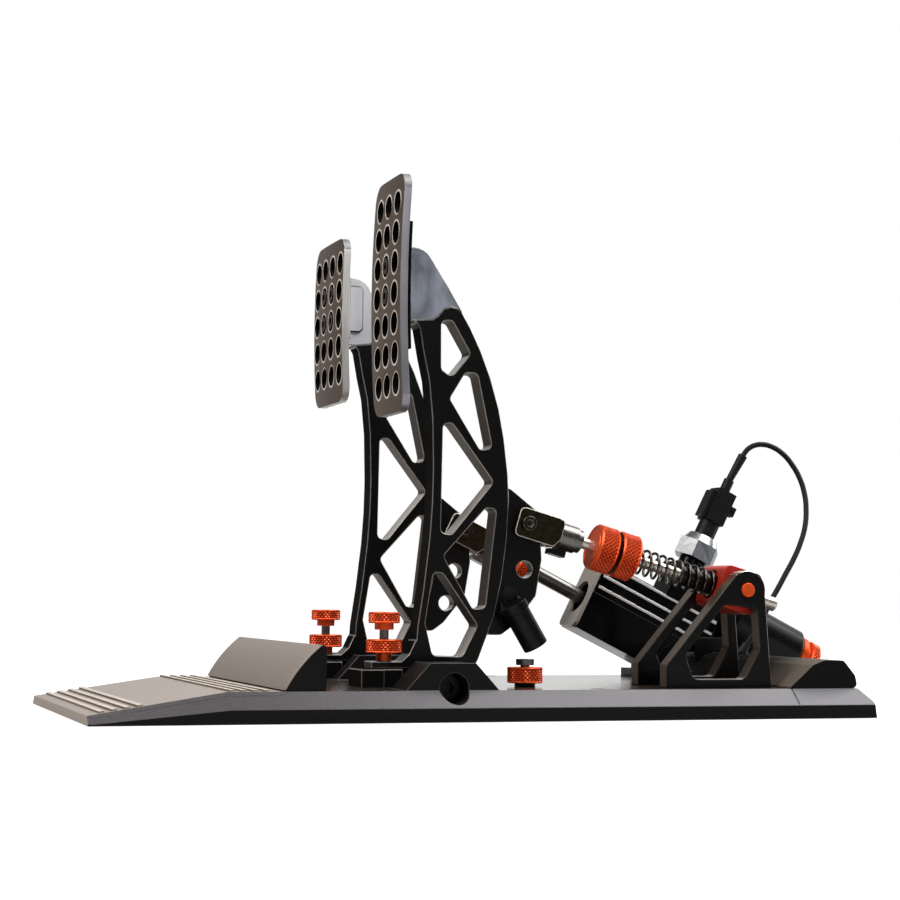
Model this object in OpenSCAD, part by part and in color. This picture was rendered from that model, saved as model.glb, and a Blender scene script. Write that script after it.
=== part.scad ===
// Sim racing pedal set: throttle and brake on one heel plate. Units are millimetres.
// +X points away from the driver, +Y to the brake side, +Z up; origin under the base's middle.

/* [Base] */
// overall base length
base_l = 440; // [400:1:480]
// overall base width
base_w = 220; // [200:1:240]
// height of the floor's top face
floor_z = 16.2; // [14:0.1:20]
// height of the upright side band
band_z = 7.5; // [5:0.1:10]
// width of the bevel along each side
bevel_w = 10; // [6:0.5:14]
// height of the heel edge
heel_z = 5; // [4:0.1:8]
// length of the heel ramp
ramp_l = 72; // [60:1:90]
// thickness of the heel plate
heel_plate_t = 2; // [1.5:0.1:3]
// thickness of the heel stop's facing
facing_t = 1.2; // [0.8:0.1:2]
// hollow radius of the heel stop
heel_stop_r = 74; // [60:1:90]
// width of the heel stop
heel_stop_w = 196; // [180:1:198]
// distance from the ramp's top to the heel stop's back
heel_stop_l = 53; // [45:1:60]
// hole for a rig bolt
rig_hole_d = 8.4; // [6.4:0.1:9]
// distance between rig holes along the base
rig_pitch_x = 142; // [120:1:160]
// distance between rig holes across the base
rig_pitch_y = 180; // [160:1:190]

/* [Pedals] */
// distance from the middle to each pedal
pedal_y = 62; // [55:1:70]
// pivot position along the base
pivot_x = -26; // [-40:0.5:-10]
// pivot height
pivot_z = 17.2; // [16:0.1:20]
// thickness of the forged arms
arm_t = 14; // [10:0.5:18]
// thickness of the lug behind each arm
lug_t = 8; // [6:0.5:10]
// hub radius round the pivot
hub_r = 13; // [11:0.5:14]
// axle diameter
axle_d = 10; // [8:0.5:11]
// bearing outer diameter
bearing_d = 16; // [14:0.5:18]
// plate thickness
plate_t = 4.2; // [3:0.1:6]
// bow radius of the pedal plates
plate_r = 800; // [600:10:1000]
// distance between the holes of a plate
hole_pitch = 16.43; // [14:0.01:18]
// plate hole diameter
hole_d = 12; // [9:0.1:12.4]
// foremost point of the plates
plate_x = -55.6; // [-60:0.1:-50]
// height of the plate holes' middle
plate_z = 229.5; // [210:0.1:240]
// depth of the machined head below the arm's sides
head_cut = 0.4; // [0.2:0.1:1]

/* [Throttle link] */
// clevis pin position behind the arm
throttle_pin_x = 26; // [24:0.1:30]
// clevis pin height
throttle_pin_z = 106.3; // [100:0.1:110]
// clevis pin diameter
pin_d = 6.6; // [5:0.1:8]
// lug hole for the clevis pin
lug_hole_d = 10; // [8:0.1:11]
// trunnion axis position
trunnion_x = 151.5; // [140:0.1:160]
// trunnion axis height
trunnion_z = 70.8; // [60:0.1:80]
// rod diameter
rod_d = 6.4; // [5:0.1:8]
// end of the rod beyond the pin
rod_end = 161; // [155:1:175]
// preload knob diameter
knob_d = 26.4; // [24:0.2:30]
// preload knob thickness
knob_t = 11.5; // [10:0.5:13]
// gap between the two preload knobs
knob_gap = 2.2; // [1.5:0.1:4]
// length of the clevis's cheeks
clevis_l = 27.5; // [25:0.5:32]
// spring outer diameter
spring_d = 15.6; // [13:0.1:18]
// spring wire diameter
wire_d = 1.6; // [1:0.1:2]
// spring turns
spring_turns = 10; // [6:1:10]
// trunnion pin diameter
stub_d = 8; // [6:0.5:10]
// thickness of each support frame
frame_t = 10; // [6:0.5:12]

/* [Brake unit] */
// brake clevis pin position behind the arm
brake_pin_x = 30.5; // [26:0.1:34]
// brake clevis pin height
brake_pin_z = 105; // [95:0.1:110]
// tilt of the brake cylinder
brake_tilt = 26.3; // [24:0.1:28]
// pushrod diameter
push_d = 9; // [8.6:0.1:9.2]
// piston diameter
piston_d = 18; // [17:0.5:19]
// width of the master cylinder
master_w = 26; // [25:0.5:30]
// front face of the twin cylinder block, from the clevis pin
bore_s0 = 89.5; // [86:0.5:92]
// rear face of the twin cylinder block
block_s1 = 175; // [172:0.5:178]
// height of the slave barrel above the pushrod's axis
slave_v = 32.8; // [32:0.1:36]
// slave barrel diameter
slave_d = 31.2; // [28:0.1:32]
// rear end of the slave barrel
slave_s1 = 234.5; // [225:0.5:245]
// diameter of the knob behind the slave barrel
brake_knob_d = 26.4; // [22:0.2:28]
// diameter of the lock knob on the pushrod
rod_knob_d = 24; // [20:0.5:26]
// position of the pressure sensor along the unit
sensor_s = 146; // [142:0.5:150]
// width of the sensor's hexagon across flats
sensor_af = 24; // [20:0.5:27]
// thickness of the front cap
cap_t = 2.5; // [2:0.5:6]
// lead diameter
lead_d = 3.4; // [2.6:0.1:4]

/* [Adjusters] */
// adjuster thread diameter
thread_d = 5; // [4:0.1:6]
// position of the rest adjusters
rest_x = -53.8; // [-60:0.1:-48]
// floor stop position along the base
stop_x = 29.4; // [24:0.1:34]
// floor stop position across the base
stop_y = -57; // [-62:0.5:-50]

/* [Rear housing] */
// wall thickness of the housing
wall_t = 2.5; // [1.5:0.1:4]
// width of the housing
housing_w = 200; // [180:1:204]

/* [Fits] */
// radial clearance of a running fit
run_fit = 0.05; // [0.02:0.01:0.09]
// gap between neighbouring moving faces
side_gap = 0.3; // [0.2:0.05:0.6]
// shared clearance between fixed pieces
seat_gap = 0.02; // [0.01:0.01:0.05]

/* [Hidden] */
$fn = 64;
ramp_x = -base_l / 2 + ramp_l;
ramp_a = atan2(floor_z - heel_z, ramp_l);
heel_end_x = ramp_x + 29;
rod_dx = trunnion_x - throttle_pin_x;
rod_dz = throttle_pin_z - trunnion_z;
rod_tilt = atan2(rod_dz, rod_dx);
trunnion_s = sqrt(rod_dx * rod_dx + rod_dz * rod_dz);
trunnion_l = 24;
spring_s0 = 68.5;
spring_seat = 2.4;
spring_s1 = trunnion_s - trunnion_l / 2 + spring_seat;
ball_s = 106;
ball_d = 12;
block_v = [-20, 26];
fin_v = [8.2, 15.5, 23.1];
spigot_d = 16;
cradle_fix = [[160.5, -28.8], [160.5, 28.8]];
boss_in = 52.5;
boss_out = 71.5;
side_y = base_w / 2 - bevel_w;
axle_head_y = side_y - 17;
seam_x = 171.5;
throttle_tail = 21.2;
brake_tail = 16.5;
frame_in = pedal_y - 15;
frame_head_z = 4.4;
cradle_t = 5;
bumper_at = [15.4, -74.4, 61.9];
bumper_tilt = 149;
frame_out = pedal_y + 15;
plate_back_r = plate_r - plate_t;
plate_cx = plate_x + plate_r;
steel = [0.72, 0.72, 0.74];
black = [0.09, 0.09, 0.1];
orange = [0.86, 0.33, 0.09];
bare = [0.8, 0.79, 0.77];
warm = [0.56, 0.52, 0.48];

arm_front = [[-38.2, 216], [-34.7, 197], [-31.8, 184], [-29.7, 163], [-29, 135], [-29.4, 116],
    [-30.7, 97], [-33.8, 70.5], [-37, 49], [-38.2, 32.6]];
arm_foot = [[-38.6, 18], [-30, 7], [-16, 10]];
arm_back = [[-2.3, 31], [6.8, 55], [11.3, 76], [14, 98], [15, 119], [14.4, 133], [11.9, 153],
    [8.8, 169], [3.8, 186], [-2.1, 201], [-8.2, 213.5], [-15, 225], [-22.6, 238], [-33, 254]];
arm_top = [[-38, 256.5], [-53, 256.5], [-53, 218], [-47, 216]];
head_zone = [[-44.4, 215.6], [-30.4, 217], [-26.6, 219.6], [-23.8, 223], [-19.4, 224.6], [-15, 223.4],
    [-10.6, 219.6], [6, 226], [-20, 270], [-44.4, 270]];
arm_gaps = [
    [[-25, 216.6], [-18.7, 217], [-8, 199], [-18.8, 185.9], [-24.8, 190]],
    [[-10.8, 188.5], [-3.9, 188.3], [5, 147], [-2.2, 146.4], [-19.8, 173.7]],
    [[-23.4, 160], [-18.2, 160.4], [5.9, 128.7], [-18.2, 99.3], [-24.2, 100.5]],
    [[1.6, 114.2], [7.7, 114], [1.5, 59.2], [-5.7, 59.3], [-22.6, 87.8]],
    [[-28.2, 78.6], [-23.1, 78.4], [-2.8, 50], [-11.4, 33.2], [-28.3, 33.7], [-32.6, 51.2]]];
lug_form = [[10, 127], [17, 125.7], [34, 112.6], [35.7, 86.6], [32.4, 66.4], [18.9, 49.8], [12, 44.8],
    [1, 44.8], [4.6, 60], [8.2, 86]];
toe_form = [[-63, 26.9], [-63, 30.5], [-46, 30.5], [-41.5, 34.5], [-38, 42], [-30, 40], [-30, 26.9]];
frame_form = [[101.9, floor_z], [101.9, 29], [144.4, 79.5], [157.5, 80], [162.2, 71], [166.3, floor_z]];
frame_gap = [[118.5, 21], [149.5, 21], [159.2, 38], [157.6, 60.5], [137.5, 62.5], [113.2, 34.5]];
frame_fix_x = [108.5, 158];
housing_form = [[171.5, floor_z], [171.6, 17.2], [185.4, 29.2], [192, 31.8], [204.4, 31.8],
    [211.6, 23.4], [213.3, floor_z]];
lead_path = [[220.97, 62, 157.21], [221.49, 62, 158.06], [223.38, 62, 160.51], [226.03, 61.9, 162.65],
    [229.59, 61.5, 164.24], [233.94, 60.7, 164.77], [239.8, 59, 163.4], [246.2, 56, 158.8],
    [251.6, 53, 151.4], [254.9, 49.5, 142.9], [256.4, 46, 133.2], [255.5, 42, 122.7], [252.5, 38, 111.4],
    [247.5, 34.5, 101.1], [240.8, 31, 90.7], [233.7, 28, 81.3], [227.9, 25.5, 73.6], [222.4, 23.5, 66.3],
    [217.1, 22, 58.2], [212, 20.8, 50.4], [207.02, 20, 43.38], [202.82, 20, 37.8]];

function unit2(v) = v / norm(v);
function corner(a, b, c, r, n) =
    let(u = unit2(a - b))
    let(w = unit2(c - b))
    let(half = acos(u * w) / 2)
    let(t = min(r / tan(half), 0.45 * min(norm(a - b), norm(c - b))))
    let(rr = t * tan(half))
    let(m = b + unit2(u + w) * rr / sin(half))
    let(p = b + u * t - m)
    let(q = b + w * t - m)
    let(a0 = atan2(p.y, p.x))
    let(turn = atan2(q.y, q.x) - a0)
    let(sweep = turn > 180 ? turn - 360 : turn < -180 ? turn + 360 : turn)
    [for (i = [0:n]) m + rr * [cos(a0 + sweep * i / n), sin(a0 + sweep * i / n)]];
function rounded(p, r, n = 4) =
    let(k = len(p))
    [for (i = [0:k - 1]) each corner(p[(i + k - 1) % k], p[i], p[(i + 1) % k], r, n)];
function ramp_height(x) = min(floor_z, heel_z + (x + base_l / 2) * tan(ramp_a));

// one swept tube with closed ends along the points p
function ring(p, i, r, n) =
    let(k = len(p) - 1)
    let(d = p[min(k, i + 1)] - p[max(0, i - 1)])
    let(f = d / norm(d))
    let(h = abs(f.y) > 0.9 ? [1, 0, 0] : [0, 1, 0])
    let(a = cross(f, h) / norm(cross(f, h)))
    let(b = cross(f, a))
    [for (j = [0:n - 1]) p[i] + r * (cos(360 * j / n) * a + sin(360 * j / n) * b)];
module tube(p, r, n) {
    k = len(p);
    pts = [for (i = [0:k - 1]) each ring(p, i, r, n)];
    sides = [for (i = [0:k - 2], j = [0:n - 1], h = [0, 1])
        let(a = i * n + j)
        let(b = i * n + (j + 1) % n)
        h == 0 ? [a, b, a + n] : [b, b + n, a + n]];
    ends = [for (j = [1:n - 2], h = [0, 1])
        h == 0 ? [0, j + 1, j] : [(k - 1) * n, (k - 1) * n + j, (k - 1) * n + j + 1]];
    polyhedron(points = pts, faces = concat(sides, ends), convexity = 10);
}

// a flat profile in X and Z, spread from y0 to y1
module slab(p, y0, y1) {
    translate([0, y1, 0]) rotate([90, 0, 0]) linear_extrude(y1 - y0) polygon(p);
}
// a cylinder along Y from y0 to y1
module rod_y(x, z, y0, y1, d) {
    translate([x, y1, z]) rotate([90, 0, 0]) cylinder(h = y1 - y0, d = d);
}
// a cylinder along local X from s0 to s1
module rod_x(s0, s1, d) {
    translate([s0, 0, 0]) rotate([0, 90, 0]) cylinder(h = s1 - s0, d = d);
}
module cone_x(s0, s1, d0, d1) {
    translate([s0, 0, 0]) rotate([0, 90, 0]) cylinder(h = s1 - s0, d1 = d0, d2 = d1);
}
// local frames: X runs along the link from its clevis pin
module throttle_link() {
    translate([throttle_pin_x, -pedal_y, throttle_pin_z]) rotate([0, rod_tilt, 0]) children();
}
module brake_link() {
    translate([brake_pin_x, pedal_y, brake_pin_z]) rotate([0, brake_tilt, 0]) children();
}
module both_sides() {
    children();
    mirror([0, 1, 0]) children();
}
// the +Y form as it is, or mirrored to the throttle's side
module on_side(side) {
    if (side > 0) children();
    else mirror([0, 1, 0]) children();
}
// a knob turned about local X, with chamfered rims and a bore
module knob_x(s0, s1, d, bore) {
    c = 0.8;
    difference() {
        union() {
            rod_x(s0 + c, s1 - c, d);
            cone_x(s0, s0 + c, d - 2 * c, d);
            cone_x(s1 - c, s1, d, d - 2 * c);
        }
        rod_x(s0 - 1, s1 + 1, bore);
    }
}
module knob_z(z0, z1, d) {
    c = 0.6;
    translate([0, 0, z0 + c]) cylinder(h = z1 - z0 - 2 * c, d = d);
    translate([0, 0, z0]) cylinder(h = c, d1 = d - 2 * c, d2 = d);
    translate([0, 0, z1 - c]) cylinder(h = c, d1 = d, d2 = d - 2 * c);
}
// a socket screw standing along Z with its head's seat at z = 0
module socket_screw(d, head_d, head_h, l) {
    difference() {
        union() {
            cylinder(h = head_h, d = head_d);
            translate([0, 0, -l]) cylinder(h = l + 0.1, d = d);
        }
        translate([0, 0, head_h * 0.4]) cylinder(h = head_h, d = head_d * 0.52, $fn = 6);
    }
}

// the base's outer form: side profile, bevelled section and tapered heel corners
module base_form() {
    side = [[-base_l / 2, 0], [-base_l / 2, heel_z], [ramp_x, floor_z], [base_l / 2 - 6.7, floor_z],
        [base_l / 2 - 1.3, 9.3], [base_l / 2, 0]];
    sect = [[-base_w / 2, 0], [-base_w / 2, band_z], [-side_y, floor_z], [side_y, floor_z],
        [base_w / 2, band_z], [base_w / 2, 0]];
    fall = band_z - 0.8;
    nx = -bevel_w * fall;
    ny = -(floor_z - band_z) * ramp_l;
    nz = bevel_w * ramp_l;
    difference() {
        intersection() {
            slab(side, -base_w / 2, base_w / 2);
            rotate([90, 0, 90]) linear_extrude(base_l, center = true) polygon(sect);
        }
        both_sides() translate([ramp_x, -base_w / 2, band_z])
            rotate([0, acos(nz / norm([nx, ny, nz])), atan2(ny, nx)])
                translate([-200, -200, 0]) cube([400, 400, 80]);
    }
}
module heel_zone(extra) {
    x0 = -base_l / 2 - 1;
    x1 = -base_l / 2 + heel_plate_t + extra;
    top = heel_plate_t + extra;
    slab([[x0, -1], [x1, -1], [x1, ramp_height(x1) - top], [ramp_x, floor_z - top],
        [heel_end_x + extra, floor_z - top], [heel_end_x + extra, 30], [x0, 30]], -base_w, base_w);
}
module pivot_boss(y0, y1) {
    slab([[-55.5, 13], [-39.2, 30.6], [-13.7, 30.6], [2.4, 13]], y0, y1);
}
module rig_holes(d, z0, z1) {
    for (x = [-1, 1], y = [-1, 1])
        translate([x * rig_pitch_x / 2 - 11, y * rig_pitch_y / 2, z0]) cylinder(h = z1 - z0, d = d);
}

module base_plate() {
    color(black) difference() {
        union() {
            difference() {
                base_form();
                heel_zone(seat_gap);
            }
            both_sides() {
                pivot_boss(boss_out, side_y);
                pivot_boss(boss_in - 14, boss_in);
            }
        }
        both_sides() {
            translate([-44, boss_in, 2.5]) cube([46, boss_out - boss_in, 40]);
            rod_y(pivot_x, pivot_z, boss_in - 12, base_w / 2, axle_d + 2 * seat_gap);
            rod_y(pivot_x, pivot_z, axle_head_y, base_w / 2 + 1, 16.4);
        }
        rig_holes(rig_hole_d, -1, floor_z + 1);
        translate([stop_x, stop_y, 4]) cylinder(h = 20, d = thread_d + 2 * run_fit);
        frame_screw_spots(-1) {
            cylinder(h = 30, d = 4 + 2 * seat_gap);
            cylinder(h = frame_head_z + 1, d = 7.4);
        }
        difference() {
            translate([seam_x, -base_w, 0]) cube([0.8, 2 * base_w, 40]);
            translate([0, 0, -0.7]) base_form();
            translate([0, -base_w, -1]) cube([400, 2 * base_w, band_z + 1]);
            translate([0, -side_y, 0]) cube([400, 2 * side_y, 40]);
        }
        for (p = cradle_fix) translate([p.x, pedal_y + p.y, 7]) cylinder(h = 20, d = 5 + 2 * seat_gap);
    }
}
module heel_plate() {
    color(warm) {
        intersection() {
            base_form();
            heel_zone(0);
        }
        for (x = [0:6.4:19.2]) translate([x + 8 - base_l / 2, 0, ramp_height(x + 8 - base_l / 2)])
            rotate([0, -ramp_a, 0]) cube([2.8, 2 * side_y + 4, 2], center = true);
        for (x = [3:6:21])
            translate([ramp_x + x, 0, floor_z]) cube([2.8, 2 * side_y - 2, 2], center = true);
    }
}
heel_stop_x = ramp_x + heel_stop_l;
heel_stop_arc = [for (i = [0:10])
    let(a = 152 - 2.37 * i)
    [heel_stop_x + 42.5 + heel_stop_r * cos(a), -18 + heel_stop_r * sin(a)]];
module heel_stop() {
    arc_in = [for (p = heel_stop_arc) p + [facing_t + seat_gap, 0]];
    form = concat([[heel_stop_x, floor_z], [heel_stop_arc[0].x + facing_t, floor_z]], arc_in,
        [[heel_stop_x, heel_stop_arc[10].y - 0.7]]);
    color(black) slab(form, -heel_stop_w / 2, heel_stop_w / 2);
}
module heel_stop_facing() {
    arc_in = [for (i = [0:10]) heel_stop_arc[10 - i] + [facing_t, 0]];
    color(warm) slab(concat(heel_stop_arc, arc_in), -heel_stop_w / 2, heel_stop_w / 2);
}
module throttle_axle() {
    color(steel) axle(-1);
}
module brake_axle() {
    color(steel) axle(1);
}
// shoulder pin with a socket head at the outer end
module axle(side) {
    on_side(side) difference() {
        union() {
            rod_y(pivot_x, pivot_z, boss_in - 11, axle_head_y, axle_d);
            rod_y(pivot_x, pivot_z, axle_head_y, axle_head_y + 6, 14);
        }
        translate([pivot_x, axle_head_y + 7, pivot_z]) rotate([90, 0, 0]) cylinder(h = 4.5, d = 7, $fn = 6);
    }
}

// forged arm with its truss openings, hub, rear lug, toe and machined head
module arm(side, pad_w, pad_z, pin, fix) {
    outline = rounded(concat(arm_front, arm_foot, arm_back, arm_top), 14, 2);
    y0 = pedal_y - arm_t / 2;
    y1 = pedal_y + arm_t / 2;
    on_side(side) difference() {
        union() {
            difference() {
                slab(outline, y0, y1);
                for (g = arm_gaps) slab(rounded(g, 3), y0 - 1, y1 + 1);
            }
            rod_y(pivot_x, pivot_z, y0, y1, 2 * hub_r);
            slab(rounded(lug_form, 4), pedal_y - lug_t / 2, pedal_y + lug_t / 2);
            rod_y(pin.x, pin.y, pedal_y - lug_t / 2, pedal_y + lug_t / 2, lug_hole_d + 7);
            slab(toe_form, y0, y1);
            translate([-54, pedal_y - pad_w / 2, pad_z]) cube([9.5, pad_w, 256 - pad_z]);
        }
        slab(head_zone, y0 - 1, y0 + head_cut);
        slab(head_zone, y1 - head_cut, y1 + 1);
        difference() {
            translate([-62, pedal_y - 40, 200]) cube([22, 80, 70]);
            translate([plate_cx, pedal_y, plate_z]) sphere(r = plate_back_r - seat_gap, $fn = 200);
        }
        rod_y(pivot_x, pivot_z, y0 - 1, y1 + 1, bearing_d + 2 * seat_gap);
        rod_y(pin.x, pin.y, y0, y1, lug_hole_d);
        rod_y(25.4, 81, y0, y1, 9);
        rod_y(20.3, 61.6, y0, y1, 9);
        translate([rest_x, pedal_y, 20]) cylinder(h = 20, d = thread_d + 2 * run_fit);
        for (p = fix)
            translate([-60, pedal_y + p.x * hole_pitch, plate_z + p.y * hole_pitch])
                rod_x(0, 24, thread_d + 2 * seat_gap);
    }
}
throttle_fix = [[0, 0], [0, 1]];
brake_fix = [[-0.5, 0], [0.5, 0], [-0.5, 1], [0.5, 1]];
module throttle_arm() {
    color(black) arm(-1, 17, 206, [throttle_pin_x, throttle_pin_z], throttle_fix);
}
module brake_arm() {
    color(black) arm(1, 28, 219, [brake_pin_x, brake_pin_z], brake_fix);
}
// flanged bushes pressed into both sides of a hub
module bearings(side) {
    flange = pedal_y + arm_t / 2;
    on_side(side) for (k = [0, 1]) translate([0, k * 2 * pedal_y, 0]) mirror([0, k, 0]) difference() {
        union() {
            rod_y(pivot_x, pivot_z, pedal_y + 0.5, flange, bearing_d);
            rod_y(pivot_x, pivot_z, flange, pedal_y + 9.3, bearing_d + 5);
        }
        rod_y(pivot_x, pivot_z, pedal_y - 20, pedal_y + 20, axle_d + 2 * run_fit);
    }
}
module throttle_bearings() {
    color([0.6, 0.5, 0.3]) bearings(-1);
}
module brake_bearings() {
    color([0.6, 0.5, 0.3]) bearings(1);
}
// bowed plate with spot-faced holes; fix lists the holes that take a screw
module plate(y, w, h, dz, cols, rows, fix) {
    face = [[-w / 2, -h / 2], [w / 2, -h / 2], [w / 2, h / 2], [-w / 2, h / 2]];
    difference() {
        intersection() {
            difference() {
                translate([plate_cx, y, plate_z]) sphere(r = plate_r, $fn = 200);
                translate([plate_cx, y, plate_z]) sphere(r = plate_back_r, $fn = 200);
            }
            translate([plate_x - 2, y, plate_z + dz]) rotate([90, 0, 90])
                linear_extrude(30) polygon(rounded(face, 10, 6));
        }
        for (i = [0:cols - 1], j = [0:rows - 1]) {
            c = i - (cols - 1) / 2;
            r = j - (rows - 1) / 2;
            x = plate_x + hole_pitch * hole_pitch * (c * c + r * r) / (2 * plate_r);
            fixed = len([for (f = fix) if (norm(f - [c, r]) < 0.1) 1]) > 0;
            translate([0, y + c * hole_pitch, plate_z + r * hole_pitch]) {
                rod_x(plate_x - 2, x + (fixed ? plate_t - 2 : plate_t + 2), hole_d);
                rod_x(plate_x - 2, x + 0.25, hole_d + 2.4);
                if (fixed) rod_x(plate_x, x + plate_t + 2, thread_d + 1);
            }
        }
    }
}
module throttle_plate() {
    color(bare) plate(-pedal_y, 56, 129.6, -0.2, 3, 7, throttle_fix);
}
module brake_plate() {
    color(bare) plate(pedal_y, 65, 97.4, -1, 4, 5, brake_fix);
}
module plate_screws(y, fix) {
    for (f = fix) {
        x = plate_x + hole_pitch * hole_pitch * (f * f) / (2 * plate_r) + plate_t - 2;
        translate([x, y + f.x * hole_pitch, plate_z + f.y * hole_pitch]) rotate([0, -90, 0])
            socket_screw(thread_d, 9, 2.4, 12);
    }
}
module throttle_plate_screws() {
    color(steel) plate_screws(-pedal_y, throttle_fix);
}
module brake_plate_screws() {
    color(steel) plate_screws(pedal_y, brake_fix);
}
module throttle_bumper() {
    color(black) difference() {
        translate(bumper_at) rotate([0, bumper_tilt, 0]) {
            cylinder(h = 27, d = 14.1);
            cylinder(h = 5, d = 15.6);
        }
        translate([-50, -pedal_y - lug_t / 2 - seat_gap, 0]) cube([120, 20, 120]);
    }
}
module bumper_clip() {
    face = -pedal_y - lug_t / 2;
    color(black) difference() {
        slab(rounded([[11, 48.3], [22, 55.3], [20.5, 70.3], [13.5, 72.3], [10.5, 60.3]], 2), face - 1.6, face);
        translate(bumper_at) rotate([0, bumper_tilt, 0]) cylinder(h = 40, d = 16, center = true);
    }
}

// rest adjuster: knob and screw turn as one, the lock nut turns below them
module at_rest(side) {
    translate([rest_x, side * pedal_y, 0]) children();
}
module rest_knob() {
    difference() {
        union() {
            knob_z(51, 57, 17.4);
            translate([0, 0, 47.5]) cylinder(h = 3.6, d = 10.4);
        }
        translate([0, 0, 40]) cylinder(h = 14, d = thread_d + 2 * seat_gap);
    }
}
module rest_screw() {
    translate([0, 0, 27.2]) cylinder(h = 26.8, d = thread_d);
    translate([0, 0, 26.5]) cylinder(h = 0.7, d1 = thread_d - 1.4, d2 = thread_d);
}
module rest_lock_nut() {
    difference() {
        union() {
            knob_z(34.9, 42.3, 19.8);
            translate([0, 0, 30.55]) cylinder(h = 4.4, d = 8.3);
        }
        translate([0, 0, 29]) cylinder(h = 20, d = thread_d + 2 * run_fit);
    }
}
module throttle_rest_knob() {
    color(orange) at_rest(-1) rest_knob();
}
module throttle_rest_screw() {
    color(steel) at_rest(-1) rest_screw();
}
module throttle_lock_nut() {
    color(orange) at_rest(-1) rest_lock_nut();
}
module brake_rest_knob() {
    color(orange) at_rest(1) rest_knob();
}
module brake_rest_screw() {
    color(steel) at_rest(1) rest_screw();
}
module brake_lock_nut() {
    color(orange) at_rest(1) rest_lock_nut();
}
module rest_block(side) {
    on_side(side) {
        translate([-70, pedal_y - 13, floor_z]) cube([13, 26, 26.4 - floor_z]);
        translate([-57.1, pedal_y - 9, floor_z]) cube([11.5, 18, 26.4 - floor_z]);
    }
}
module throttle_rest_block() {
    color(black) rest_block(-1);
}
module brake_rest_block() {
    color(black) rest_block(1);
}
module floor_stop_screw() {
    color(steel) translate([stop_x, stop_y, 28]) socket_screw(thread_d, 10.2, 3.5, 22);
}
module floor_stop_nut() {
    color(orange) translate([stop_x, stop_y, 0]) difference() {
        union() {
            knob_z(18.2, 27, 20);
            translate([0, 0, floor_z + 0.05]) cylinder(h = 4, d = 11.6);
        }
        cylinder(h = 40, d = thread_d + 2 * run_fit);
    }
}

// fork with two cheeks and a web, along the link's X; tail runs from the pin to the fork's end
module clevis(bore, tail) {
    gap = lug_t / 2 + 0.5;
    s0 = tail - clevis_l;
    cheek = rounded([[s0, -8.25], [tail - 3.5, -8.25], [tail, -3], [tail, 8.25], [s0, 8.25]], 3);
    difference() {
        union() {
            slab(cheek, gap, gap + 4);
            slab(cheek, -gap - 4, -gap);
            translate([tail - 5.3, -gap - 0.1, -8]) cube([3.6, 2 * gap + 0.2, 16]);
        }
        rod_y(0, 0, -20, 20, pin_d + 2 * seat_gap);
        rod_x(tail - 6, tail + 20, bore + 2 * seat_gap);
    }
}
module clevis_pin() {
    y1 = lug_t / 2 + 4.5;
    rod_y(0, 0, -y1 - 1.6, y1, pin_d);
    rod_y(0, 0, y1, y1 + 3, 8);
    difference() {
        rod_y(0, 0, -y1 - 3, -y1, 8);
        translate([0, -y1 - 1.8, 0]) rotate([90, 0, 0]) cylinder(h = 3, d = 4.2, $fn = 6);
    }
}
// sleeve with a stepped end and the clamp block under the fork
module coupling(s0, s1, d, bore) {
    block = [[s0 - 3.4, -11.6], [s0 + 6, -11.6], [s0 + 6, -6], [s0 + 0.1, -6], [s0 + 0.1, -8.6],
        [s0 - 3.4, -8.6]];
    difference() {
        union() {
            rod_x(s0, s1 - 3, d);
            rod_x(s1 - 3.1, s1, d - 2);
            if (bore < 8) rod_x(s0 - 1.8, s0 + 0.1, 8.6);
            slab(block, -4, 4);
        }
        rod_x(s0 - 4, s1 + 1, bore + 2 * seat_gap);
    }
}
module throttle_clevis() {
    color([0.25, 0.22, 0.17]) throttle_link() clevis(rod_d, throttle_tail);
}
module throttle_clevis_pin() {
    color(steel) throttle_link() clevis_pin();
}
module throttle_coupling() {
    color(steel) throttle_link() coupling(throttle_tail + 0.2, throttle_tail + 13.7, 15, rod_d);
}
module throttle_rod() {
    color(steel) throttle_link() {
        rod_x(throttle_tail - 4.9, rod_end - 12, rod_d);
        rod_x(rod_end - 12.1, rod_end - 1, rod_d + 1.8);
        cone_x(rod_end - 1, rod_end, rod_d + 1.8, rod_d);
    }
}
module preload_lock_knob() {
    s1 = spring_s0 - knob_t - knob_gap;
    color(orange) throttle_link() {
        knob_x(s1 - knob_t, s1, knob_d, rod_d + 2 * run_fit);
        difference() {
            rod_x(s1 - 0.1, s1 + knob_gap - side_gap, knob_d / 2);
            rod_x(s1 - 1, s1 + knob_gap + 1, rod_d + 2 * run_fit);
        }
    }
}
module preload_knob() {
    color(orange) throttle_link() knob_x(spring_s0 - knob_t, spring_s0 - 0.1, knob_d, rod_d + 2 * run_fit);
}
module guide_sleeve() {
    color(black) throttle_link() difference() {
        rod_x(spring_s1 - 22.4, spring_s1 - seat_gap, 11.6);
        rod_x(spring_s1 - 30, spring_s1 + 1, rod_d + 2 * 0.09);
    }
}
spring_len = spring_s1 - spring_s0 - 0.2;
spring_mid_r = (spring_d - wire_d) / 2;
spring_steps = 8 * spring_turns;
spring_rise = spring_len - wire_d;
spring_pts = [for (i = [0:spring_steps])
    let(a = 360 * i / 8)
    let(t = i / spring_steps)
    [spring_s0 + 0.1 + wire_d / 2 + spring_rise * t, spring_mid_r * cos(a), spring_mid_r * sin(a)]];
spring_gap = spring_rise / spring_turns - wire_d;
echo(spring_gap = spring_gap);
module throttle_spring() {
    tail = wire_d;
    a = spring_pts[0];
    z = spring_pts[spring_steps];
    path = concat([a + [0, 0, -tail]], spring_pts, [z + [0, 0, tail]]);
    color(black) throttle_link() tube(path, wire_d / 2, 6);
}
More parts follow.
